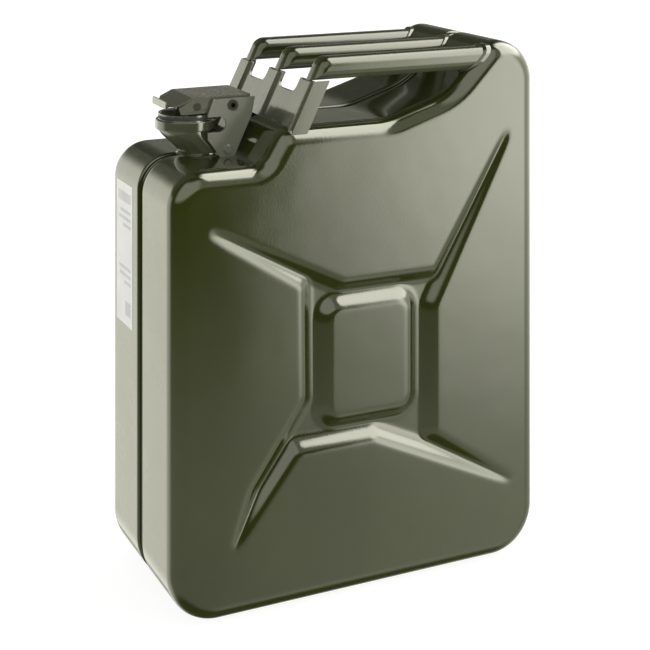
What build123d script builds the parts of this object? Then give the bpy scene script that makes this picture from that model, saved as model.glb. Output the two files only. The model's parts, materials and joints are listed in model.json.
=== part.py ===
from build123d import *
import os
from math import radians, sin, tan

os.makedirs("parts", exist_ok=True)

# A 20 litre steel jerry can. Millimetres, +Z up, origin at the centre of the underside.
# +X runs from the filler neck to the handle hump, the big faces look along -Y and +Y.

# ---- body
body_length = 345.0
body_width = 165.0
sheet = 1.0
half_length = body_length / 2
half_width = body_width / 2
edge_radius = 15.0
seam_half_width = 5.5
seam_depth = 4.0
seam_lip_radius = 2.2
corner_radius = 42.0
spout_corner_radius = 30.0
step_radius = 18.0
hump_radius = 36.0
crest_radius = 24.0
flank_radius = 70.0
valley_radius = 60.0
shoulder_z = 367.5
valley_z = 397.0

# ---- X pressing on the big faces
press_depth = 7.0
wall_run = 7.5
offset_gain = tan(radians(22.5))
arm_floor_share = 0.2
arm_end_run = 12.0
boss_width = 77.0
boss_height = 93.0
boss_centre = (4.5, 196.5)
boss_radius = 10.0

# ---- neck and mouth
foot_x = -114.0
mouth_x = -130.5
neck_foot_z = 358.0
neck_bend_z = 368.0
land_z = 389.0
mouth_z = 399.0
bore_radius = 22.5
neck_wall = 1.8
foot_radius = 22.0
ring_thickness = 2.3
shell_hole_clearance = 0.1
hole_run = 30.0
neck_weld_reach = 3.0
neck_weld_rise = 2.6
neck_weld_bevel = 2.2
seam_weld_half_width = 2.5
seam_weld_rise = 1.0

# ---- closure
pivot = (-99.5, 411.0)
cheek_gap = 28.0
cheek_thickness = 1.8
pin_radius = 3.0
pin_head_radius = 4.6
pin_head_height = 1.2
pin_dimple = 4.0
pin_dimple_radius = 1.9
pin_head_radius = 4.6
pin_head_height = 1.2
pin_dimple = 4.0
pin_dimple_radius = 1.9
running_gap = 0.05
rivet_centre = (-104.0, 373.5)
rivet_radius = 2.5
rivet_head_radius = 4.2
rivet_head_height = 1.8
lever_half_width = 26.0
lever_sheet = 1.5
lever_top_z = 417.5
lever_bottom_z = 405.0
cap_pin_z = 411.0
cap_pin_radius = 2.0
cap_pin_head = 0.8
cap_pin_head_radius = 3.2
cap_radius = 24.2
gasket_gap = 0.05
gasket_thickness = 2.5
cap_thickness = 1.6

# ---- handle
grip_pitch = 67.0
grip_width = 21.0
grip_height = 19.5
grip_top_z = 453.5
grip_wall = 1.5
grip_edge = 8.0
bend_radius = 12.0
bracket_angle = 64.0
bracket_foot_x = -64.0
bracket_sheet = 1.8
bracket_half_width = 79.5
flange_depth = 13.0
foot_trim = 14.0
rib_width = 18.0
rib_rise = 2.5
weld_size = 2.0

# ---- breather pipe
vent_radius = 4.5
vent_wall = 1.0
vent_bend = 8.0
vent_run_z = 383.0
saddle_x = 8.0
saddle_length = 12.0
saddle_sheet = 1.6
saddle_clearance = 0.02


def outline(inset):
    """Side outline of the can, moved inwards by inset."""
    corners = [
        ((-half_length, 0), corner_radius),
        ((half_length, 0), corner_radius),
        ((half_length, 449), hump_radius),
        ((131, 461), crest_radius),
        ((86, 415.5), flank_radius),
        ((26, valley_z), valley_radius),
        ((-74, valley_z), step_radius),
        ((-92, shoulder_z), step_radius),
        ((-half_length, shoulder_z), spout_corner_radius),
    ]
    with BuildSketch() as side:
        with BuildLine():
            Polyline(*[place for place, radius in corners], close=True)
        make_face()
        for place, radius in corners:
            fillet(side.vertices().sort_by_distance(place)[0], radius)
        if inset:
            offset(amount=-inset, kind=Kind.INTERSECTION)
    return side.sketch


def envelope(grow):
    """The whole can as one filled block with rounded long edges and no seam groove."""
    with BuildPart() as block:
        with BuildSketch(Plane.XZ):
            add(outline(-grow))
        extrude(amount=half_width + grow, both=True)
        faces = block.faces().filter_by(Axis.Y)
        fillet(faces.edges(), edge_radius + grow)
    return block.part


def star_arm(level, root_a, root_b, tip_a, tip_b):
    """One tapering groove of the X: a loft from its outline at the skin to its narrow floor."""
    root = (Vector(*root_a) + Vector(*root_b)) * 0.5
    tip = (Vector(*tip_a) + Vector(*tip_b)) * 0.5
    back = (root - tip).normalized() * arm_end_run
    skin = [Vector(*corner) for corner in (root_a, tip_a, tip_b, root_b)]
    centres = (root, tip, tip, root)
    shifts = (Vector(), back, back, Vector())
    floor = [c + (p - c) * arm_floor_share + s for p, c, s in zip(skin, centres, shifts)]
    with BuildPart() as arm:
        for points, depth in ((skin, 0.0), (floor, press_depth)):
            with BuildSketch(Plane.XZ.offset(half_width - level - depth)):
                with BuildLine():
                    Polyline(*[(p.X, p.Y) for p in points], close=True)
                make_face()
                offset(amount=offset_gain * level, kind=Kind.INTERSECTION)
        loft(ruled=True)
    return arm.part


def pressing(level):
    """The recess of the X pressing, as the solid that is taken out of the face."""
    frame = [(-20, 264), (-57, 268), (-57, 170), (-62, 127.5), (10, 127.5), (68, 122), (68, 232), (68, 264)]
    arms = [
        ((0, 255), (-50, 262), (-137, 322), (-135, 313)),
        ((-50, 180), (-56, 122), (-121, 63), (-113, 56)),
        ((2, 134), (58, 131), (144, 64), (140, 73)),
        ((64, 220), (60, 252), (143, 371), (138, 380)),
    ]
    with BuildPart() as recess:
        for run, depth in ((0.0, 0.0), (wall_run, press_depth)):
            with BuildSketch(Plane.XZ.offset(half_width - level - depth)):
                with BuildLine():
                    Polyline(*frame, close=True)
                make_face()
                offset(amount=offset_gain * level - run, kind=Kind.INTERSECTION)
        loft(ruled=True)
        for corners in arms:
            add(star_arm(level, *corners))
    return recess.part


def boss(level):
    """The raised panel in the middle of the X."""
    with BuildPart() as raised:
        for run, depth in ((0.0, 0.0), (wall_run, press_depth)):
            trim = 2 * (run - offset_gain * level)
            with BuildSketch(Plane.XZ.offset(half_width - level - depth)):
                with Locations(boss_centre):
                    RectangleRounded(boss_width + trim, boss_height + trim, boss_radius + run / 2)
        loft(ruled=True)
    return raised.part


def pan(level):
    """The -Y half of the can, filled, with every wall moved inwards by level."""
    with BuildPart() as half:
        with BuildSketch(Plane.XZ.offset(seam_half_width + level)):
            add(outline(level))
        extrude(amount=half_width - seam_half_width - 2 * level)
        face = half.faces().sort_by(Axis.Y)[0]
        fillet(face.edges(), edge_radius - level)
        lip = half.faces().sort_by(Axis.Y)[-1]
        fillet(lip.edges(), seam_lip_radius)
        with BuildSketch(Plane.XZ):
            add(outline(seam_depth + level))
        extrude(amount=seam_half_width + level)
        add(pressing(level), mode=Mode.SUBTRACT)
        add(boss(level))
    return half.part


def neck_plug(extra):
    """The neck's outer form, grown by extra: straight foot, raked cone, straight mouth."""
    with BuildPart() as plug:
        with BuildSketch(Plane.XY.offset(neck_foot_z)):
            with Locations((foot_x, 0)):
                Circle(foot_radius + extra)
        extrude(amount=neck_bend_z - neck_foot_z)
        with BuildSketch(Plane.XY.offset(neck_bend_z)):
            with Locations((foot_x, 0)):
                Circle(foot_radius + extra)
        with BuildSketch(Plane.XY.offset(land_z)):
            with Locations((mouth_x, 0)):
                Circle(bore_radius + neck_wall + extra)
        loft(ruled=True)
        with BuildSketch(Plane.XY.offset(land_z)):
            with Locations((mouth_x, 0)):
                Circle(bore_radius + neck_wall + extra)
        extrude(amount=mouth_z - land_z)
    return plug.part


# ------------------------------------------------------------------ can body

skin_half = pan(0.0)
cavity_half = pan(sheet)
can_block = envelope(0.0)

with BuildPart() as neck_hole:
    with BuildSketch(Plane.XY.offset(neck_foot_z - 5)):
        with Locations((foot_x, 0)):
            Circle(foot_radius + shell_hole_clearance)
    extrude(amount=hole_run)

with BuildPart() as front_half_shell:
    add(skin_half)
    add(cavity_half, mode=Mode.SUBTRACT)
    add(neck_hole.part, mode=Mode.SUBTRACT)

with BuildPart() as rear_half_shell:
    add(front_half_shell.part.mirror(Plane.XZ))

with BuildPart() as seam_weld:
    with BuildSketch(Plane.XZ):
        add(outline(seam_depth - seam_weld_rise))
        add(outline(seam_depth), mode=Mode.SUBTRACT)
    extrude(amount=seam_weld_half_width, both=True)
    with BuildSketch(Plane.XY.offset(neck_foot_z)):
        with Locations((foot_x, 0)):
            Circle(foot_radius + neck_weld_reach + 0.2)
    extrude(amount=hole_run, mode=Mode.SUBTRACT)

# ------------------------------------------------------------------ neck

with BuildPart() as neck:
    add(neck_plug(0.0))
    with BuildSketch(Plane.XY.offset(neck_foot_z)):
        with Locations((foot_x, 0)):
            Circle(foot_radius - neck_wall)
    extrude(amount=neck_bend_z - neck_foot_z, mode=Mode.SUBTRACT)
    with BuildSketch(Plane.XY.offset(neck_bend_z)):
        with Locations((foot_x, 0)):
            Circle(foot_radius - neck_wall)
    with BuildSketch(Plane.XY.offset(land_z)):
        with Locations((mouth_x, 0)):
            Circle(bore_radius)
    loft(ruled=True, mode=Mode.SUBTRACT)
    with BuildSketch(Plane.XY.offset(land_z)):
        with Locations((mouth_x, 0)):
            Circle(bore_radius)
    extrude(amount=mouth_z - land_z, mode=Mode.SUBTRACT)

with BuildPart() as mouth_ring:
    with BuildSketch(Plane.XY.offset(land_z + 0.5)):
        with Locations((mouth_x, 0)):
            Circle(bore_radius + neck_wall + ring_thickness)
            Circle(bore_radius + neck_wall, mode=Mode.SUBTRACT)
    extrude(amount=mouth_z - land_z - 1.5)
    outer_face = mouth_ring.faces().filter_by(GeomType.CYLINDER).sort_by(SortBy.AREA)[-1]
    fillet(outer_face.edges().filter_by(GeomType.CIRCLE), ring_thickness * 0.45)

with BuildPart() as neck_weld:
    with BuildSketch(Plane.XY.offset(shoulder_z - seam_depth)):
        with Locations((foot_x, 0)):
            Circle(foot_radius + neck_weld_reach)
    extrude(amount=seam_depth + neck_weld_rise)
    top_face = neck_weld.faces().sort_by(Axis.Z)[-1]
    chamfer(top_face.edges(), neck_weld_bevel)
    add(neck_plug(0.0), mode=Mode.SUBTRACT)
    add(front_half_shell.part, mode=Mode.SUBTRACT)
    add(rear_half_shell.part, mode=Mode.SUBTRACT)
    with BuildSketch(Plane.XY.offset(neck_foot_z)):
        with Locations((foot_x, 0)):
            Circle(foot_radius + shell_hole_clearance)
    extrude(amount=shoulder_z - neck_foot_z, mode=Mode.SUBTRACT)

# ------------------------------------------------------------------ hinge bracket


def cheek_outline():
    """Side view of one cheek: foot round the rivet, hook notch open to the mouth side."""
    with BuildSketch() as cheek:
        with BuildLine():
            Polyline(
                (-110, 366.5), (-98.5, 366.5), (-82, 402), (-79, 417), (-117, 417), (-122, 404), (-122, 383),
                close=True,
            )
        make_face()
        fillet(cheek.vertices().group_by(Axis.Y)[0], 4.5)
        with Locations((-112, 395.5)):
            Circle(6.5, mode=Mode.SUBTRACT)
        with Locations((-122, 395.5)):
            Rectangle(20, 13, mode=Mode.SUBTRACT)
        with Locations(pivot):
            Circle(pin_radius, mode=Mode.SUBTRACT)
        with Locations(rivet_centre):
            Circle(rivet_radius, mode=Mode.SUBTRACT)
    return cheek.sketch


web_bottom = (-99.2, 369.5)
web_top = (-91.4, 384.5)
with BuildPart() as hinge_bracket:
    for side in (1, -1):
        with BuildSketch(Plane.XZ.offset(side * cheek_gap)):
            add(cheek_outline())
        extrude(amount=side * cheek_thickness)
    with BuildSketch(Plane.XZ):
        with BuildLine():
            Polyline(
                (web_bottom[0], web_bottom[1]),
                (web_top[0], web_top[1]),
                (web_top[0] - cheek_thickness, web_top[1]),
                (web_bottom[0] - cheek_thickness, web_bottom[1]),
                close=True,
            )
        make_face()
    extrude(amount=cheek_gap, both=True)
    add(can_block, mode=Mode.SUBTRACT)
    add(neck_weld.part, mode=Mode.SUBTRACT)
    add(neck_plug(0.3), mode=Mode.SUBTRACT)

with BuildPart() as bracket_rivets:
    for side in (1, -1):
        with BuildSketch(Plane.XZ):
            with Locations(rivet_centre):
                Circle(rivet_radius)
        extrude(amount=side * (cheek_gap + cheek_thickness))
        with BuildSketch(Plane.XZ.offset(side * (cheek_gap + cheek_thickness))):
            with Locations(rivet_centre):
                Circle(rivet_head_radius)
        extrude(amount=side * rivet_head_height, taper=30)
    add(neck_plug(0.0), mode=Mode.SUBTRACT)
    add(neck_weld.part, mode=Mode.SUBTRACT)

pin_end = cheek_gap + cheek_thickness + pin_head_height
with BuildPart() as hinge_pin:
    with BuildSketch(Plane.XZ):
        with Locations(pivot):
            Circle(pin_radius)
    extrude(amount=pin_end, both=True)
    for side in (1, -1):
        with BuildSketch(Plane.XZ.offset(side * (cheek_gap + cheek_thickness))):
            with Locations(pivot):
                Circle(pin_head_radius)
        extrude(amount=side * pin_head_height)
        with BuildSketch(Plane.XZ.offset(side * (pin_end - pin_dimple))):
            with Locations(pivot):
                Circle(pin_dimple_radius)
        extrude(amount=side * pin_dimple, mode=Mode.SUBTRACT)

# ------------------------------------------------------------------ closure

lever_bend_x = -134.0
side_toe = (-146.5, 411.0)
tab_root = (-147.5, 411.5)
tab_tip_x = -155.5
tab_z = 409.5
tab_lip_z = 415.5
hinge_end_x = -82.0


def lever_side():
    """Side view of the lever's cheeks: round at the hinge, falling away to the thumb tab."""
    with BuildSketch() as side:
        with BuildLine():
            Polyline(
                (hinge_end_x, lever_top_z), (hinge_end_x, 410), (-92, lever_bottom_z),
                (side_toe[0] + 2, lever_bottom_z), side_toe, (lever_bend_x, lever_top_z),
                close=True,
            )
        make_face()
        with Locations(pivot):
            Circle(pin_radius + running_gap, mode=Mode.SUBTRACT)
        with Locations((mouth_x, cap_pin_z)):
            Circle(cap_pin_radius, mode=Mode.SUBTRACT)
    return side.sketch


with BuildPart() as closure_lever:
    for side in (1, -1):
        with BuildSketch(Plane.XZ.offset(side * (lever_half_width - lever_sheet))):
            add(lever_side())
        extrude(amount=side * lever_sheet)
    with BuildSketch(Plane.XZ):
        with BuildLine():
            Polyline(
                (hinge_end_x, lever_top_z),
                (lever_bend_x, lever_top_z),
                tab_root,
                (tab_tip_x, tab_z),
                (tab_tip_x, tab_lip_z),
                (tab_tip_x + lever_sheet, tab_lip_z),
                (tab_tip_x + lever_sheet, tab_z + lever_sheet),
                (tab_root[0], tab_root[1] + lever_sheet),
                (lever_bend_x - 0.5, lever_top_z + lever_sheet),
                (hinge_end_x, lever_top_z + lever_sheet),
                close=True,
            )
        make_face()
    extrude(amount=lever_half_width, both=True)
    with BuildSketch(Plane.XY.offset(lever_bottom_z)):
        for side in (1, -1):
            with Locations((tab_tip_x, side * lever_half_width)):
                Rectangle(18, 16, rotation=-side * 28)
    extrude(amount=20, mode=Mode.SUBTRACT)

with BuildPart() as cap_pin:
    with BuildSketch(Plane.XZ):
        with Locations((mouth_x, cap_pin_z)):
            Circle(cap_pin_radius)
    extrude(amount=lever_half_width + cap_pin_head, both=True)
    for side in (1, -1):
        with BuildSketch(Plane.XZ.offset(side * lever_half_width)):
            with Locations((mouth_x, cap_pin_z)):
                Circle(cap_pin_head_radius)
        extrude(amount=side * cap_pin_head)

gasket_z = mouth_z + gasket_gap
cap_z = gasket_z + gasket_thickness
with BuildPart() as cap_gasket:
    with BuildSketch(Plane.XY.offset(gasket_z)):
        with Locations((mouth_x, 0)):
            Circle(cap_radius)
            Circle(bore_radius - 2.5, mode=Mode.SUBTRACT)
    extrude(amount=gasket_thickness)

yoke_half_gap = 12.0
yoke_sheet = 1.6
yoke_radius = 4.6
skirt_gap = 2.6
with BuildPart() as cap:
    with BuildSketch(Plane.XY.offset(cap_z)):
        with Locations((mouth_x, 0)):
            Circle(cap_radius)
    extrude(amount=cap_thickness)
    with BuildSketch(Plane.XY.offset(cap_z - gasket_thickness)):
        with Locations((mouth_x, 0)):
            Circle(bore_radius - skirt_gap)
            Circle(bore_radius - skirt_gap - yoke_sheet, mode=Mode.SUBTRACT)
    extrude(amount=gasket_thickness)
    for side in (1, -1):
        with BuildSketch(Plane.XZ.offset(side * yoke_half_gap)):
            with Locations((mouth_x, cap_pin_z)):
                Circle(yoke_radius)
            with Locations((mouth_x, (cap_pin_z + cap_z + cap_thickness) / 2)):
                Rectangle(2 * yoke_radius, cap_pin_z - cap_z - cap_thickness)
            with Locations((mouth_x, cap_pin_z)):
                Circle(cap_pin_radius + running_gap, mode=Mode.SUBTRACT)
        extrude(amount=side * yoke_sheet)

# ------------------------------------------------------------------ handle

rise = radians(bracket_angle)
grip_bottom_z = grip_top_z - grip_height


def slope_x(z):
    """X of the bracket's front face at height z."""
    return bracket_foot_x + (z - valley_z) / tan(rise)


def slope_strip(front, back, low, high):
    """A strip along the bracket's slope, from front to back measured square to its face."""
    shift_front = front / sin(rise)
    shift_back = back / sin(rise)
    with BuildSketch() as strip:
        with BuildLine():
            Polyline(
                (slope_x(low) + shift_front, low),
                (slope_x(high) + shift_front, high),
                (slope_x(high) + shift_back, high),
                (slope_x(low) + shift_back, low),
                close=True,
            )
        make_face()
    return strip.sketch


window_low_z = 422.0
window_width = grip_pitch - rib_width - 14
rib_places = (-grip_pitch, 0.0, grip_pitch)
with BuildPart() as handle_front_bracket:
    with BuildSketch(Plane.XZ):
        add(slope_strip(0, bracket_sheet, valley_z - foot_trim, grip_bottom_z))
    extrude(amount=bracket_half_width, both=True)
    for place in rib_places:
        with BuildSketch(Plane.XZ.offset(place)):
            add(slope_strip(-rib_rise, 0, valley_z - foot_trim, grip_bottom_z))
        extrude(amount=rib_width / 2, both=True)
    for side in (1, -1):
        with BuildSketch(Plane.XZ.offset(side * (bracket_half_width - bracket_sheet))):
            add(slope_strip(0, flange_depth, valley_z - foot_trim, grip_bottom_z))
        extrude(amount=side * bracket_sheet)
    with BuildSketch(Plane.YZ.offset(bracket_foot_x)):
        for side in (1, -1):
            with Locations((side * grip_pitch / 2, window_low_z + 10)):
                RectangleRounded(window_width, 20, 6)
    extrude(amount=60, mode=Mode.SUBTRACT)
    add(can_block, mode=Mode.SUBTRACT)

grip_end_x = 136.0


def grip_form(extra, start_shift):
    """Side outline of a handle tube, grown by extra, running on into the hump."""
    with BuildSketch() as side:
        with BuildLine():
            Polyline(
                (slope_x(grip_bottom_z) + start_shift - extra, grip_bottom_z - extra),
                (grip_end_x, grip_bottom_z - extra),
                (grip_end_x, grip_top_z + extra),
                (slope_x(grip_top_z) + start_shift - extra, grip_top_z + extra),
                close=True,
            )
        make_face()
        corner = side.vertices().sort_by_distance((slope_x(grip_top_z), grip_top_z))[0]
        fillet(corner, bend_radius)
    return side.sketch


def grip_block(place, extra, start_shift):
    """A filled handle tube at y = place."""
    with BuildPart() as block:
        with BuildSketch(Plane.XZ.offset(-place)):
            add(grip_form(extra, start_shift))
        extrude(amount=grip_width / 2 + extra, both=True)
        long_edges = block.edges().filter_by(Axis.X)
        fillet(long_edges, grip_edge + extra)
    return block.part


def grip(place):
    """One hollow handle tube, ending on the hump's flank."""
    with BuildPart() as tube:
        add(grip_block(place, 0.0, 0.0))
        add(grip_block(place, -grip_wall, grip_wall), mode=Mode.SUBTRACT)
        add(can_block, mode=Mode.SUBTRACT)
    return tube


front_grip = grip(-grip_pitch)
centre_grip = grip(0.0)
rear_grip = grip(grip_pitch)

with BuildPart() as grip_welds:
    for place in rib_places:
        add(grip_block(place, weld_size, 60.0))
    add(envelope(weld_size), mode=Mode.INTERSECT)
    add(can_block, mode=Mode.SUBTRACT)
    for place in rib_places:
        add(grip_block(place, 0.0, 0.0), mode=Mode.SUBTRACT)

with BuildPart() as bracket_foot_weld:
    with BuildSketch(Plane.XZ):
        add(slope_strip(bracket_sheet, bracket_sheet + weld_size, valley_z - foot_trim, valley_z + weld_size))
    extrude(amount=bracket_half_width - 2 * bracket_sheet, both=True)
    add(can_block, mode=Mode.SUBTRACT)

# ------------------------------------------------------------------ breather pipe

vent_path = [
    (-109.0, 381), (-101.2, 366), (-101.2, 350), (-84, 350), (-62, vent_run_z), (44, vent_run_z), (108, 415), (132, 440),
]
start = Vector(vent_path[0][0], 0, vent_path[0][1])
heading = Vector(vent_path[1][0], 0, vent_path[1][1]) - start
with BuildPart() as vent_tube:
    with BuildLine(Plane.XZ) as vent_line:
        FilletPolyline(*vent_path, radius=vent_bend)
    with BuildSketch(Plane(origin=start, z_dir=heading)):
        Circle(vent_radius)
        Circle(vent_radius - vent_wall, mode=Mode.SUBTRACT)
    sweep(path=vent_line.line)

saddle_roof_z = valley_z - seam_depth - sheet
with BuildPart() as vent_tube_saddle:
    with BuildSketch(Plane.YZ.offset(saddle_x)):
        with Locations((0, vent_run_z)):
            Circle(vent_radius + saddle_sheet)
        with Locations((0, (vent_run_z + saddle_roof_z) / 2)):
            Rectangle(2 * saddle_sheet, saddle_roof_z - vent_run_z)
        with Locations((0, vent_run_z)):
            Circle(vent_radius + saddle_clearance, mode=Mode.SUBTRACT)
    extrude(amount=saddle_length)

# ------------------------------------------------------------------ label

label_y = (20.0, 64.0)
label_z = (214.0, shoulder_z - spout_corner_radius)
label_thickness = 0.15
with BuildPart() as side_label:
    with BuildSketch(Plane.YZ.offset(-half_length)):
        with Locations((sum(label_y) / 2, sum(label_z) / 2)):
            Rectangle(label_y[1] - label_y[0], label_z[1] - label_z[0])
    extrude(amount=-label_thickness)

# ------------------------------------------------------------------ files

pieces = {
    "front_half_shell": front_half_shell,
    "rear_half_shell": rear_half_shell,
    "seam_weld": seam_weld,
    "neck": neck,
    "mouth_ring": mouth_ring,
    "neck_weld": neck_weld,
    "hinge_bracket": hinge_bracket,
    "bracket_rivets": bracket_rivets,
    "hinge_pin": hinge_pin,
    "closure_lever": closure_lever,
    "cap_pin": cap_pin,
    "cap": cap,
    "cap_gasket": cap_gasket,
    "handle_front_bracket": handle_front_bracket,
    "front_grip": front_grip,
    "centre_grip": centre_grip,
    "rear_grip": rear_grip,
    "grip_welds": grip_welds,
    "bracket_foot_weld": bracket_foot_weld,
    "vent_tube": vent_tube,
    "vent_tube_saddle": vent_tube_saddle,
    "side_label": side_label,
}
for name, piece in pieces.items():
    piece.part.label = name
    export_step(piece.part, f"parts/{name}.step")
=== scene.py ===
import json
import math

import bmesh
import bpy
import numpy as np
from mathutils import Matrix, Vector
from mathutils.geometry import delaunay_2d_cdt


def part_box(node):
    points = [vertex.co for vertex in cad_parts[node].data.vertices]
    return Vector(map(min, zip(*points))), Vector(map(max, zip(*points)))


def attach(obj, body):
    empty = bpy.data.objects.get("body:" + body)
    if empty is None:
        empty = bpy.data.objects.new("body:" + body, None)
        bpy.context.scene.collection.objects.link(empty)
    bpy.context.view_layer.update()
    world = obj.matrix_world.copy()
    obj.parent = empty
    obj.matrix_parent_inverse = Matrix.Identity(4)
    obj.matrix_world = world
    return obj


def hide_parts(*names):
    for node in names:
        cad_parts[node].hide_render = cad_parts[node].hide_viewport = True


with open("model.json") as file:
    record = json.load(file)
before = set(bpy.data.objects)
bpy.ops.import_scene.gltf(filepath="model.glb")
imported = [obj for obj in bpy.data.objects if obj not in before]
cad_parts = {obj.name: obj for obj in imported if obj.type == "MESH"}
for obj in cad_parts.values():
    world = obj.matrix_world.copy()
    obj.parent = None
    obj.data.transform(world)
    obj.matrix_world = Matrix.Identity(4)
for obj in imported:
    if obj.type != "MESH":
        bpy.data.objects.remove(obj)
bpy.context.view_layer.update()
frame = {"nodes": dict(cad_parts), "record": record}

MM = 0.001


def corners_mm(node):
    """Lowest and highest corner of a CAD node in millimetres."""
    low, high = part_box(node)
    return Vector(low) / MM, Vector(high) / MM


# ---------------------------------------------------------------- places taken from the frame

_, shell_high = corners_mm("rear_half_shell")
half_length = shell_high.x
half_width = shell_high.y
filler_mouth = next(m for m in frame["record"]["mounts"] if m["name"] == "filler_mouth")
mouth = Vector(filler_mouth["pos_m"]) / MM
bore_radius = filler_mouth["dims"]["r_mm"]

# ---------------------------------------------------------------- shape of the pressed body, mm

shoulder_z = 367.5
valley_z = 397.0
seam_half_width = 5.5
seam_depth = 4.0
edge_radius = 15.0
sheet = 1.0
lip_radius = 2.2
seam_floor_radius = 1.4
neck_zone = 12.0

# Each corner of the side outline with the radius of its fillet.
outline_corners = [
    ((-half_length, 0), 42), ((half_length, 0), 42), ((half_length, 449), 36),
    ((131, 461), 24), ((86, 415.5), 70), ((26, valley_z), 60),
    ((-74, valley_z), 18), ((-92, shoulder_z), 18), ((-half_length, shoulder_z), 30),
]


# ---------------------------------------------------------------- mesh helpers

def mesh_object(name, points_mm, faces, smooth=True):
    """A mesh object from points in millimetres."""
    mesh = bpy.data.meshes.new(name)
    mesh.from_pydata([tuple(c * MM for c in p) for p in points_mm], [], [tuple(f) for f in faces])
    mesh.update()
    if smooth:
        mesh.polygons.foreach_set("use_smooth", [True] * len(mesh.polygons))
    obj = bpy.data.objects.new(name, mesh)
    bpy.context.scene.collection.objects.link(obj)
    return obj


def outward(obj):
    """Turns a closed mesh's faces to the outside and merges doubled points."""
    work = bmesh.new()
    work.from_mesh(obj.data)
    bmesh.ops.remove_doubles(work, verts=work.verts, dist=1e-6)
    bmesh.ops.recalc_face_normals(work, faces=work.faces)
    work.to_mesh(obj.data)
    work.free()
    return obj


def grid_faces(rows, columns, close_rows=False, close_columns=False):
    """Quads over a rows by columns lattice of points, closed round either way."""
    faces = []
    for i in range(rows if close_rows else rows - 1):
        for j in range(columns if close_columns else columns - 1):
            k, n = (i + 1) % rows, (j + 1) % columns
            faces.append((i * columns + j, i * columns + n, k * columns + n, k * columns + j))
    return faces


def rounded_polygon(corners, step):
    """Points and outward normals round a counter-clockwise polygon whose corners have fillets."""
    points, normals = [], []
    count = len(corners)
    for i, (place, radius) in enumerate(corners):
        here = np.array(place, float)
        into = here - np.array(corners[i - 1][0], float)
        away = np.array(corners[(i + 1) % count][0], float) - here
        into, away = into / np.linalg.norm(into), away / np.linalg.norm(away)
        turn = math.atan2(into[0] * away[1] - into[1] * away[0], into @ away)
        side = 1 if turn > 0 else -1
        start = here - into * radius * math.tan(abs(turn) / 2)
        normal = np.array([into[1], -into[0]])
        centre = start - side * normal * radius
        steps = max(2, int(abs(turn) * radius / step) + 1, int(abs(turn) / math.radians(4)))
        for k in range(steps + 1):
            a = turn * k / steps
            n = np.array([normal[0] * math.cos(a) - normal[1] * math.sin(a),
                          normal[0] * math.sin(a) + normal[1] * math.cos(a)])
            points.append(centre + side * n * radius)
            normals.append(n)
    points, normals = np.array(points), np.array(normals)
    filled_points, filled_normals = [], []
    for i in range(len(points)):
        gap = np.linalg.norm(points[(i + 1) % len(points)] - points[i])
        parts = max(1, int(gap / step))
        for k in range(parts):
            t = k / parts
            filled_points.append(points[i] * (1 - t) + points[(i + 1) % len(points)] * t)
            filled_normals.append(normals[i] * (1 - t) + normals[(i + 1) % len(points)] * t)
    normals = np.array(filled_normals)
    return np.array(filled_points), normals / np.linalg.norm(normals, axis=1)[:, None]


def segment_distance(x, z, a, b):
    """Distance from the points (x, z) to the segment a-b."""
    ax, az = a
    dx, dz = b[0] - ax, b[1] - az
    t = np.clip(((x - ax) * dx + (z - az) * dz) / (dx * dx + dz * dz), 0, 1)
    return np.hypot(x - ax - t * dx, z - az - t * dz)


def inside_polygon(x, z, corners):
    """Which of the points (x, z) are inside the polygon."""
    inside = np.zeros(np.shape(x), bool)
    for (ax, az), (bx, bz) in zip(corners, np.roll(corners, -1, axis=0)):
        crosses = (az > z) != (bz > z)
        with np.errstate(divide="ignore", invalid="ignore"):
            at = ax + (z - az) * (bx - ax) / (bz - az)
        inside ^= crosses & (x < at)
    return inside


def blur(field, sigma, step):
    """Gaussian blur of a regular field, sigma and step in millimetres."""
    reach = int(3 * sigma / step) + 1
    kernel = np.exp(-0.5 * (np.arange(-reach, reach + 1) * step / sigma) ** 2)
    kernel /= kernel.sum()
    for axis in (0, 1):
        padded = np.pad(field, [(reach, reach) if a == axis else (0, 0) for a in (0, 1)], mode="edge")
        rows = np.arange(field.shape[axis])
        field = sum(w * np.take(padded, rows + i, axis=axis) for i, w in enumerate(kernel))
    return field


# ---------------------------------------------------------------- X pressing

press_depth = 7.0
wall_run = 9.0
press_slope = press_depth / wall_run
press_blur = 2.0
tip_slope = 0.12
press_low = (-160.0, 40.0)
press_high = (165.0, 400.0)
press_step = 1.0
star = [
    (-20, 264), (-137, 320.5), (-139.5, 318.5), (-137.5, 314.5), (-58, 265),
    (-57, 170), (-104, 104), (-119.5, 61), (-118, 58), (-115.5, 60.5), (-62, 127.5),
    (10, 127.5), (142, 67.6), (146, 67.5), (144, 71), (68, 122),
    (68, 232), (141.5, 371), (143.5, 380), (140.5, 380), (68, 264),
]
arm_tips = [(-139, 319), (-122, 58), (146, 67), (143, 380)]
boss_low = (-34.0, 150.0)
boss_high = (43.0, 243.0)
boss_radius = 10.0


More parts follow.
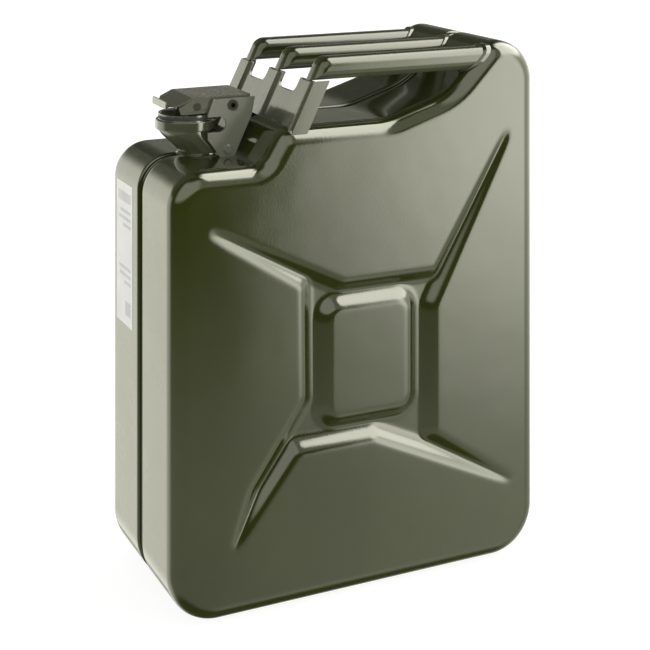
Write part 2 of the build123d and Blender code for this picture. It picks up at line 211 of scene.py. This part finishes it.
def pressing_field():
    """How deep the face is pressed in, on a regular lattice."""
    x = np.arange(press_low[0], press_high[0] + press_step / 2, press_step)
    z = np.arange(press_low[1], press_high[1] + press_step / 2, press_step)
    xx, zz = np.meshgrid(x, z, indexing="ij")
    corners = np.array(star, float)
    sides = zip(corners, np.roll(corners, -1, axis=0))
    rim = np.min([segment_distance(xx, zz, a, b) for a, b in sides], axis=0)
    inside = inside_polygon(xx, zz, corners)
    tip_gap = np.min([np.hypot(xx - a, zz - b) for a, b in arm_tips], axis=0)
    floor_depth = np.minimum(press_depth, tip_slope * tip_gap)
    depth = np.where(inside, np.clip(rim * press_slope, 0, floor_depth), 0)
    cx, cz = (boss_low[0] + boss_high[0]) / 2, (boss_low[1] + boss_high[1]) / 2
    qx = np.abs(xx - cx) - (boss_high[0] - boss_low[0]) / 2 + boss_radius
    qz = np.abs(zz - cz) - (boss_high[1] - boss_low[1]) / 2 + boss_radius
    beyond = np.hypot(np.maximum(qx, 0), np.maximum(qz, 0)) + np.minimum(np.maximum(qx, qz), 0) - boss_radius
    depth = np.minimum(depth, np.clip(beyond * press_slope, 0, press_depth))
    return blur(depth, press_blur, press_step)


def sample(field, x, z):
    """Bilinear reading of a lattice field."""
    u = np.clip((np.asarray(x) - press_low[0]) / press_step, 0, field.shape[0] - 1.001)
    v = np.clip((np.asarray(z) - press_low[1]) / press_step, 0, field.shape[1] - 1.001)
    i, j = u.astype(int), v.astype(int)
    a, b = u - i, v - j
    return ((field[i, j] * (1 - a) + field[i + 1, j] * a) * (1 - b)
            + (field[i, j + 1] * (1 - a) + field[i + 1, j + 1] * a) * b)


# ---------------------------------------------------------------- half shells

shell_ring_step = 2.6
face_step = 2.0
rim_clearance = 1.6
face_overlap = 1.2
weld_overlap = 1.2


def face_grid(ring):
    """Flat lattice inside the ring plus the band of triangles that joins it to the ring."""
    xs = np.arange(ring[:, 0].min(), ring[:, 0].max() + face_step, face_step)
    zs = np.arange(ring[:, 1].min(), ring[:, 1].max() + face_step, face_step)
    xx, zz = np.meshgrid(xs, zs, indexing="ij")
    sides = zip(ring, np.roll(ring, -1, axis=0))
    rim = np.min([segment_distance(xx, zz, a, b) for a, b in sides], axis=0)
    keep = inside_polygon(xx, zz, ring) & (rim > rim_clearance)
    cell = keep[:-1, :-1] & keep[1:, :-1] & keep[:-1, 1:] & keep[1:, 1:]
    number = {}
    points = [tuple(p) for p in ring]
    faces = []
    edges = {}
    for i, j in zip(*np.nonzero(cell)):
        loop = []
        for key in ((i, j), (i + 1, j), (i + 1, j + 1), (i, j + 1)):
            if key not in number:
                number[key] = len(points)
                points.append((xs[key[0]], zs[key[1]]))
            loop.append(number[key])
        faces.append(loop)
        for a, b in zip(loop, loop[1:] + loop[:1]):
            edges[frozenset((a, b))] = edges.get(frozenset((a, b)), 0) + 1
    border = [tuple(e) for e, uses in edges.items() if uses == 1]
    used = sorted({v for e in border for v in e})
    local = {v: len(ring) + k for k, v in enumerate(used)}
    flat = [Vector(p) for p in ring] + [Vector(points[v]) for v in used]
    lines = [(k, (k + 1) % len(ring)) for k in range(len(ring))]
    lines += [(local[a], local[b]) for a, b in border]
    back = list(range(len(ring))) + used
    out_points, _, triangles, origins, _, _ = delaunay_2d_cdt(flat, lines, [], 1, 1e-6)
    source = [back[o[0]] for o in origins]
    for triangle in triangles:
        cx = sum(out_points[v].x for v in triangle) / 3
        cz = sum(out_points[v].y for v in triangle) / 3
        i, j = np.searchsorted(xs, cx) - 1, np.searchsorted(zs, cz) - 1
        if not (0 <= i < cell.shape[0] and 0 <= j < cell.shape[1] and cell[i, j]):
            faces.append([source[v] for v in triangle])
    return np.array(points), faces


def wall_profile():
    """(inset, y) steps from the seam's floor over its lip and along the side to the big face."""
    steps = [(seam_depth, 0.05), (seam_depth, 1.6), (seam_depth, 3.4)]
    for a in np.radians(np.linspace(10, 90, 6)):
        inset = seam_depth - seam_floor_radius * (1 - math.cos(a))
        steps.append((inset, seam_half_width - seam_floor_radius + seam_floor_radius * math.sin(a)))
    for a in np.radians(np.linspace(0, 90, 8)):
        inset = lip_radius * (1 - math.sin(a))
        steps.append((inset, seam_half_width + lip_radius * (1 - math.cos(a))))
    flat_end = half_width - edge_radius
    for t in np.linspace(0.03, 0.97, 12):
        steps.append((0.0, seam_half_width + lip_radius + t * (flat_end - seam_half_width - lip_radius)))
    for a in np.radians(np.linspace(0, 90, 22)):
        steps.append((edge_radius * (1 - math.cos(a)), flat_end + edge_radius * math.sin(a)))
    steps.append((edge_radius + face_overlap, half_width))
    return steps


def half_shell(name, side):
    """One pressed half of the can; side is -1 for the front half and 1 for the rear half."""
    ring_points, ring_normals = rounded_polygon(outline_corners, shell_ring_step)
    profile = wall_profile()
    count = len(ring_points)
    points = []
    for inset, y in profile:
        for p, n in zip(ring_points, ring_normals):
            points.append((p[0] - n[0] * inset, side * y, p[1] - n[1] * inset))
    faces = grid_faces(len(profile), count, close_columns=True)
    flat_ring = ring_points - ring_normals * profile[-1][0]
    flat_points, flat_faces = face_grid(flat_ring)
    depth = sample(pressing_field(), flat_points[:, 0], flat_points[:, 1])
    base = (len(profile) - 1) * count
    for (x, z), d in list(zip(flat_points, depth))[count:]:
        points.append((x, side * (half_width - d), z))
    faces += [tuple(base + v for v in f) for f in flat_faces]
    foot_low, foot_high = corners_mm("neck_weld")
    foot_x = (foot_low.x + foot_high.x) / 2
    clear = (foot_high.x - foot_low.x) / 2 - weld_overlap
    kept = []
    for f in faces:
        xs, ys, zs = zip(*(points[v] for v in f))
        reach = max(math.hypot(x - foot_x, y) for x, y in zip(xs, ys))
        if min(zs) <= shoulder_z - neck_zone or reach >= clear:
            kept.append(f)
    obj = outward(mesh_object(name, points, kept))
    work = bmesh.new()
    work.from_mesh(obj.data)
    outermost = max(work.faces, key=lambda f: f.calc_center_median().y * side)
    if outermost.normal.y * side < 0:
        bmesh.ops.reverse_faces(work, faces=work.faces)
    work.to_mesh(obj.data)
    work.free()
    thickness = obj.modifiers.new("sheet", "SOLIDIFY")
    thickness.thickness = sheet * MM
    thickness.offset = -1
    return obj


# ---------------------------------------------------------------- materials

class Paint:
    """Small helper that adds shader nodes to one material."""

    def __init__(self, name):
        self.material = bpy.data.materials.new(name)
        self.material.use_nodes = True
        self.tree = self.material.node_tree
        self.tree.nodes.clear()
        self.shader = self.node("ShaderNodeBsdfPrincipled")
        out = self.node("ShaderNodeOutputMaterial")
        self.link(self.shader, 0, out, 0)
        self.place = self.node("ShaderNodeNewGeometry")

    def node(self, kind, **settings):
        made = self.tree.nodes.new(kind)
        for key, value in settings.items():
            setattr(made, key, value)
        return made

    def link(self, a, output, b, target):
        self.tree.links.new(a.outputs[output], b.inputs[target])

    def noise(self, scale, detail=3.0, roughness=0.5):
        made = self.node("ShaderNodeTexNoise")
        made.inputs["Scale"].default_value = scale
        made.inputs["Detail"].default_value = detail
        made.inputs["Roughness"].default_value = roughness
        self.link(self.place, "Position", made, "Vector")
        return made

    def math(self, operation, *values):
        made = self.node("ShaderNodeMath", operation=operation)
        for k, value in enumerate(values):
            if isinstance(value, float):
                made.inputs[k].default_value = value
            else:
                self.link(value, 0, made, k)
        return made

    def bump(self, height, strength, distance, below=None):
        made = self.node("ShaderNodeBump")
        made.inputs["Strength"].default_value = strength
        made.inputs["Distance"].default_value = distance
        self.link(height, "Fac", made, "Height")
        if below is not None:
            self.link(below, 0, made, "Normal")
        return made

    def ramp(self, source, output, low, high, start, end):
        made = self.node("ShaderNodeMapRange")
        made.inputs["From Min"].default_value = low
        made.inputs["From Max"].default_value = high
        made.inputs["To Min"].default_value = start
        made.inputs["To Max"].default_value = end
        self.link(source, output, made, "Value")
        return made

    def mix(self, factor, output, colour_a, colour_b):
        made = self.node("ShaderNodeMix", data_type="RGBA")
        self.link(factor, output, made, "Factor")
        for target, colour in (("A", colour_a), ("B", colour_b)):
            socket = next(s for s in made.inputs if s.name == target and s.type == "RGBA")
            if isinstance(colour, tuple):
                socket.default_value = (*colour, 1)
            else:
                self.tree.links.new(colour, socket)
        return next(s for s in made.outputs if s.type == "RGBA")


def enamel(name, colour, coat=1.0, wear=0.35, roughness=(0.22, 0.34), coat_roughness=0.07):
    """Glossy stoved enamel: slight orange peel, soft colour drift, dust and thin rubbed edges."""
    paint = Paint(name)
    drift = paint.ramp(paint.noise(9.0, 4.0), "Fac", 0.3, 0.7, 0.0, 1.0)
    base = paint.mix(drift, 0, tuple(c * 0.85 for c in colour), tuple(c * 1.15 for c in colour))
    dust = paint.ramp(paint.noise(55.0, 8.0, 0.7), "Fac", 0.60, 0.80, 0.0, 0.10)
    dusty = paint.mix(dust, 0, base, (0.20, 0.19, 0.15))
    edge = paint.ramp(paint.place, "Pointiness", 0.53, 0.62, 0.0, wear)
    worn = paint.mix(edge, 0, dusty, (0.16, 0.16, 0.12))
    paint.tree.links.new(worn, paint.shader.inputs["Base Color"])
    gloss = paint.ramp(paint.noise(26.0, 5.0), "Fac", 0.3, 0.7, *roughness)
    paint.link(gloss, 0, paint.shader, "Roughness")
    paint.shader.inputs["Specular IOR Level"].default_value = 0.04
    paint.shader.inputs["Coat Weight"].default_value = coat
    paint.shader.inputs["Coat IOR"].default_value = 1.8
    smear = paint.ramp(paint.noise(7.0, 6.0), "Fac", 0.35, 0.7, coat_roughness * 0.8, coat_roughness * 1.5)
    paint.link(smear, 0, paint.shader, "Coat Roughness")
    bump = paint.bump(paint.noise(620.0, 2.0), 0.035, 0.0006)
    sag = paint.bump(paint.noise(14.0, 2.0), 0.08, 0.003, bump)
    paint.link(sag, 0, paint.shader, "Normal")
    paint.link(sag, 0, paint.shader, "Coat Normal")
    return paint.material


def plain(name, colour_a, colour_b, roughness, metallic=0.0):
    """A simple mottled surface: two tones, uneven sheen and a fine grain."""
    paint = Paint(name)
    mottle = paint.ramp(paint.noise(40.0, 6.0, 0.6), "Fac", 0.35, 0.65, 0.0, 1.0)
    tone = paint.mix(mottle, 0, colour_a, colour_b)
    paint.tree.links.new(tone, paint.shader.inputs["Base Color"])
    dull = min(1.0, roughness * 1.25)
    sheen = paint.ramp(paint.noise(68.0, 4.0), "Fac", 0.3, 0.7, roughness * 0.8, dull)
    paint.link(sheen, 0, paint.shader, "Roughness")
    paint.shader.inputs["Metallic"].default_value = metallic
    paint.link(paint.bump(paint.noise(480.0, 3.0), 0.1, 0.0004), 0, paint.shader, "Normal")
    return paint.material


def printed_paper(name, low, high):
    """Coated paper with a few plain grey bars instead of print, crossing the label in rows."""
    paint = Paint(name)
    axes = paint.node("ShaderNodeSeparateXYZ")
    paint.link(paint.place, "Position", axes, "Vector")
    across = paint.ramp(axes, "Y", low.y * MM, high.y * MM, 0.0, 1.0)
    up = paint.ramp(axes, "Z", low.z * MM, high.z * MM, 0.0, 1.0)
    ink = None
    # Shares of the label's height and width: middle, half height, left end, right end.
    bars = [
        (0.90, 0.035, 0.1, 0.9), (0.80, 0.012, 0.1, 0.75), (0.75, 0.012, 0.1, 0.85),
        (0.70, 0.012, 0.1, 0.6), (0.40, 0.012, 0.1, 0.85), (0.35, 0.012, 0.1, 0.8),
        (0.30, 0.012, 0.1, 0.5), (0.12, 0.05, 0.1, 0.45),
    ]
    for centre, half, start, end in bars:
        row = paint.math("COMPARE", up, centre, half)
        inner = paint.math("COMPARE", across, (start + end) / 2, (end - start) / 2)
        bar = paint.math("MULTIPLY", row, inner)
        ink = bar if ink is None else paint.math("MAXIMUM", ink, bar)
    faded = paint.ramp(paint.noise(400.0, 4.0), "Fac", 0.2, 0.8, 0.35, 0.75)
    ink = paint.math("MULTIPLY", ink, faded)
    tone = paint.mix(ink, 0, (0.68, 0.68, 0.66), (0.33, 0.34, 0.35))
    paint.tree.links.new(tone, paint.shader.inputs["Base Color"])
    sheen = paint.ramp(paint.noise(60.0, 3.0), "Fac", 0.3, 0.7, 0.35, 0.55)
    paint.link(sheen, 0, paint.shader, "Roughness")
    paint.link(paint.bump(paint.noise(90.0, 2.0), 0.2, 0.0006), 0, paint.shader, "Normal")
    return paint.material


olive = enamel("olive_enamel", (0.024, 0.030, 0.0022))
# Lighter copies of the body's olive enamel stand in for light: the fittings, neck and front bracket are
# painted as bright as they look lit, and the lever and cap get a copy darker than the fittings' copy, painted
# shade on their tops, though still lighter than the body's enamel.
olive_fittings_painted_light = enamel("olive_enamel_fittings_painted_light", (0.135, 0.140, 0.105), wear=0.5, roughness=(0.32, 0.46),
                        coat_roughness=0.20)
olive_neck_painted_light = enamel("olive_enamel_neck_painted_light", (0.055, 0.061, 0.032), wear=0.5, coat_roughness=0.11)
olive_bracket_painted_light = enamel("olive_enamel_bracket_painted_light", (0.050, 0.055, 0.028), wear=0.6, coat_roughness=0.12)
olive_lever_painted_light_and_shade = enamel("olive_enamel_lever_painted_light_and_shade", (0.036, 0.041, 0.017), wear=0.7, coat_roughness=0.13)
olive_grips = enamel("olive_enamel_grips", (0.024, 0.030, 0.0022), coat=0.75, wear=0.5)
# A near-black copy of the olive enamel: painted shade for the seam's groove and the pin holes.
olive_painted_shade = enamel("olive_enamel_painted_shade", (0.012, 0.013, 0.007), coat=0.15, roughness=(0.5, 0.7))
rubber = plain("gasket_rubber", (0.018, 0.018, 0.018), (0.03, 0.03, 0.028), 0.6)
steel = plain("drawn_steel", (0.42, 0.42, 0.41), (0.56, 0.56, 0.55), 0.35, metallic=1.0)
paper = printed_paper("label_paper", *corners_mm("side_label"))


# ---------------------------------------------------------------- pieces

def finish_piece(obj, material, node):
    """Gives a piece of the can body its material, hangs it on the can's body and hides the CAD node it stands
    in for.
    """
    obj.data.materials.clear()
    obj.data.materials.append(material)
    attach(obj, "can")
    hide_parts(node)


def tube_mesh(name, rings, closed=False):
    """A skin over rings of points; the ends are capped unless it closes on itself."""
    count = len(rings[0])
    points = [p for ring in rings for p in ring]
    faces = grid_faces(len(rings), count, close_rows=closed, close_columns=True)
    if not closed:
        faces.append(tuple(range(count)))
        faces.append(tuple((len(rings) - 1) * count + k for k in range(count)))
    return outward(mesh_object(name, points, faces))


bead_ring_step = 2.0
bead_gap = 0.3
bead_rise = 1.0
bead_half_width = 2.5
bead_sink = 0.02


def seam_bead():
    """The weld bead in the seam's groove, broken where the neck passes."""
    ring_points, ring_normals = rounded_polygon(outline_corners, bead_ring_step)
    low, high = corners_mm("neck_weld")
    foot_x = (low.x + high.x) / 2
    clear = (high.x - low.x) / 2 + bead_gap
    rings = []
    start = int(np.argmin(np.abs(ring_points[:, 0] - foot_x) + np.abs(ring_points[:, 1] - shoulder_z)))
    order = np.roll(np.arange(len(ring_points)), -start)
    for k in order:
        p, n = ring_points[k], ring_normals[k]
        if abs(p[0] - foot_x) < clear and p[1] > shoulder_z - neck_zone:
            continue
        ripple = 0.10 * math.sin(k * 1.9) + 0.06 * math.sin(k * 0.7 + 1.0)
        ring = []
        for a in np.radians(np.arange(0, 360, 30)):
            lift = (bead_rise + ripple) * max(0.0, math.sin(a)) - bead_sink * min(0.0, math.sin(a))
            inset = seam_depth - lift
            ring.append((p[0] - n[0] * inset, bead_half_width * math.cos(a), p[1] - n[1] * inset))
        rings.append(ring)
    return tube_mesh("seam_bead", rings)


neck_foot_radius = 22.0
neck_wall = 1.8
neck_foot_height = 10.0
ring_setback = 0.5
mouth_bevel = 0.6
mouth_inset = 0.5
mouth_lip_inset = neck_wall - 0.4


def neck_tube():
    """The neck: a raked tube that swells smoothly from its foot to the straight mouth."""
    low, high = corners_mm("neck")
    ring_low, _ = corners_mm("mouth_ring")
    foot_low, foot_high = corners_mm("neck_weld")
    foot_x = (foot_low.x + foot_high.x) / 2
    bend_z = low.z + neck_foot_height
    land_z = ring_low.z - ring_setback
    turns = np.linspace(0, 2 * math.pi, 72)[:-1]
    rings = []

    def ring_at(z, inset):
        t = min(1.0, max(0.0, (z - bend_z) / (land_z - bend_z)))
        s = t * 0.55 + 0.45 * t * t * (3 - 2 * t)
        centre = foot_x + (mouth.x - foot_x) * s
        radius = neck_foot_radius + (bore_radius + neck_wall - neck_foot_radius) * s - inset
        return [(centre + radius * math.cos(a), radius * math.sin(a), z) for a in turns]

    levels = [low.z, *np.linspace(bend_z, land_z, 14), high.z - mouth_bevel]
    for z in levels:
        rings.append(ring_at(z, 0.0))
    rings.append(ring_at(high.z, mouth_inset))
    rings.append(ring_at(high.z, mouth_lip_inset))
    for z in reversed(levels):
        rings.append(ring_at(z, neck_wall))
    return tube_mesh("neck_tube", rings, closed=True)


finish_piece(half_shell("front_shell", -1), olive, "front_half_shell")
finish_piece(half_shell("rear_shell", 1), olive, "rear_half_shell")
# The seam bead is painted near black as the shade in the groove.
finish_piece(seam_bead(), olive_painted_shade, "seam_weld")
# The neck and mouth ring take a lighter copy of the enamel: painted light.
finish_piece(neck_tube(), olive_neck_painted_light, "neck")

grips = ("front_grip", "centre_grip", "rear_grip")
node_finish = {
    **{name: (olive_grips, "enamel") for name in grips},
    "cap_gasket": (rubber, "gasket_rubber"),
    # The pins are painted near black as the shade in their holes.
    "hinge_pin": (olive_painted_shade, "enamel_dark"),
    "cap_pin": (olive_painted_shade, "enamel_dark"),
    "vent_tube": (steel, "bare_steel"),
    "vent_tube_saddle": (steel, "bare_steel"),
    "side_label": (paper, "label_paper"),
    # Lighter copies of the enamel on the fittings, lever and cap: painted light and shade.
    "hinge_bracket": (olive_fittings_painted_light, "enamel"),
    "bracket_rivets": (olive_fittings_painted_light, "enamel"),
    "closure_lever": (olive_lever_painted_light_and_shade, "enamel"),
    "cap": (olive_lever_painted_light_and_shade, "enamel"),
    "mouth_ring": (olive_neck_painted_light, "enamel"),
    "handle_front_bracket": (olive_bracket_painted_light, "enamel"),
}
# Width of the softened edges, millimetres.
softened = {
    "hinge_bracket": 0.5, "closure_lever": 0.45, "handle_front_bracket": 0.8,
    "cap": 0.3, "hinge_pin": 0.3, "cap_pin": 0.3,
    "neck_weld": 0.8, "grip_welds": 0.5, "bracket_foot_weld": 0.5,
}
for name, node in frame["nodes"].items():
    if node.hide_render:
        continue
    material, slot_name = node_finish.get(name, (olive, "enamel"))
    node.data.materials.clear()
    node.data.materials.append(material)
    if name in softened:
        bevel = node.modifiers.new("soft_edges", "BEVEL")
        bevel.width = softened[name] * MM
        bevel.segments = 3
        bevel.limit_method = "ANGLE"
        bevel.angle_limit = math.radians(35)

# ---------------------------------------------------------------- floor, light and camera

floor_reach = 9000
floor_z = -0.2
floor_corners = [(x * floor_reach, y * floor_reach, floor_z) for x, y in ((-1, -1), (1, -1), (1, 1), (-1, 1))]
floor = mesh_object("floor", floor_corners, [(0, 1, 2, 3)], smooth=False)
pale = Paint("pale_floor")
pale.shader.inputs["Base Color"].default_value = (0.30, 0.30, 0.30, 1)
pale.shader.inputs["Roughness"].default_value = 0.9
pale.shader.inputs["Emission Color"].default_value = (1, 1, 1, 1)
pale.shader.inputs["Emission Strength"].default_value = 0.88
floor.data.materials.append(pale.material)
floor.visible_glossy = False


def world_light():
    """Even white studio; in reflections it is a ring of soft panels with a dark gap at the camera's side."""
    world = bpy.data.worlds.new("studio")
    world.use_nodes = True
    world.cycles.sampling_method = "NONE"
    tree = world.node_tree

    def math_node(operation, a, b=0.0):
        made = tree.nodes.new("ShaderNodeMath")
        made.operation = operation
        for k, value in enumerate((a, b)):
            if isinstance(value, (int, float)):
                made.inputs[k].default_value = value
            else:
                tree.links.new(value, made.inputs[k])
        return made.outputs[0]

    def rise(value, low, high, bottom=0.0, top=1.0):
        made = tree.nodes.new("ShaderNodeMapRange")
        made.interpolation_type = "SMOOTHSTEP"
        tree.links.new(value, made.inputs["Value"])
        for key, number in (("From Min", low), ("From Max", high), ("To Min", bottom), ("To Max", top)):
            made.inputs[key].default_value = number
        return made.outputs[0]

    def product(*values):
        made = values[0]
        for value in values[1:]:
            made = math_node("MULTIPLY", made, value)
        return made

    place = tree.nodes.new("ShaderNodeTexCoord")
    axes = tree.nodes.new("ShaderNodeSeparateXYZ")
    tree.links.new(place.outputs["Generated"], axes.inputs[0])
    x, y, z = axes.outputs
    # Both in degrees: azimuth round from -Y towards +X, height above the horizon.
    azimuth = product(math_node("ARCTAN2", x, product(y, -1.0)), 180 / math.pi)
    height = product(math_node("ARCSINE", z), 180 / math.pi)

    sideways = math_node("MAXIMUM", rise(azimuth, 36, 66, 1.0, 0.34),
                         product(rise(height, 10, 26), rise(azimuth, 112, 135, 1.0, 0.0)))
    upper_back = math_node("SUBTRACT", 1.0, product(rise(azimuth, 118, 140), rise(height, 12, 22), 0.85))
    lean = math_node("SUBTRACT", azimuth, product(math_node("ADD", height, 12.0), 0.10))
    right = product(rise(lean, 22, 25), rise(azimuth, 23, 33, 0.34, 1.0), sideways,
                    rise(azimuth, 118, 146, 1.0, 0.10), upper_back, rise(height, -24, -10, 0.10, 1.0),
                    rise(height, 5, 26, 1.0, 1.4), rise(height, 70, 84, 1.0, 0.05), 4.8)
    left = product(rise(azimuth, -125, -100, 1.0, 0.0), rise(height, -26, -10, 0.92, 1.65),
                   rise(height, 8, 20, 1.0, 0.08))
    low_front = rise(height, -24, -13, 0.5, 0.02)
    front_top = product(rise(azimuth, -95, -70), rise(azimuth, 40, 60, 1.0, 0.0), rise(height, 3, 16),
                        rise(height, 56, 72, 1.0, 0.0), rise(azimuth, 2, 15, 1.4, 0.55))
    sides = math_node("MAXIMUM", math_node("MAXIMUM", right, left), front_top)
    ring = product(math_node("ADD", sides, low_front), rise(height, -64, -42, 0.04, 1.0))
    panels = math_node("ADD", ring, 0.03)

    path = tree.nodes.new("ShaderNodeLightPath")
    mixer = tree.nodes.new("ShaderNodeMix")
    tree.links.new(path.outputs["Is Glossy Ray"], mixer.inputs[0])
    seen = path.outputs["Is Camera Ray"]
    fill = rise(height, 12, 50, 1.12, 0.30)
    soft = math_node("MAXIMUM", fill, seen)
    tree.links.new(soft, mixer.inputs[2])
    tree.links.new(panels, mixer.inputs[3])
    background = tree.nodes["Background"]
    tint = tree.nodes.new("ShaderNodeMix")
    tint.data_type = "RGBA"
    tree.links.new(path.outputs["Is Glossy Ray"], tint.inputs[0])
    tint.inputs[6].default_value = (1, 1, 1, 1)
    tint.inputs[7].default_value = (1.0, 1.0, 0.85, 1)
    tree.links.new(tint.outputs[2], background.inputs["Color"])
    tree.links.new(mixer.outputs[0], background.inputs["Strength"])
    bpy.context.scene.world = world


world_light()
bpy.context.scene.view_settings.view_transform = "Standard"

camera_data = bpy.data.cameras.new("camera")
camera = bpy.data.objects.new("camera", camera_data)
bpy.context.scene.collection.objects.link(camera)
camera.location = (-0.578, -1.2244, 0.63255)
camera.rotation_euler = (math.radians(90), 0, math.radians(-25.357))
camera_data.sensor_width = 36.0
camera_data.lens = 83.46
camera_data.shift_x = -0.0011
camera_data.clip_start = 0.05
bpy.context.scene.camera = camera

# The lens is shifted down only while the camera stands at the place given above.
drop = camera_data.driver_add("shift_y").driver
drop.type = "SCRIPTED"
camera_side = drop.variables.new()
camera_side.name = "side"
camera_side.targets[0].id = camera
camera_side.targets[0].data_path = "location[0]"
drop.expression = "-0.7383 if abs(side + 0.578) < 0.0005 else 0.0"
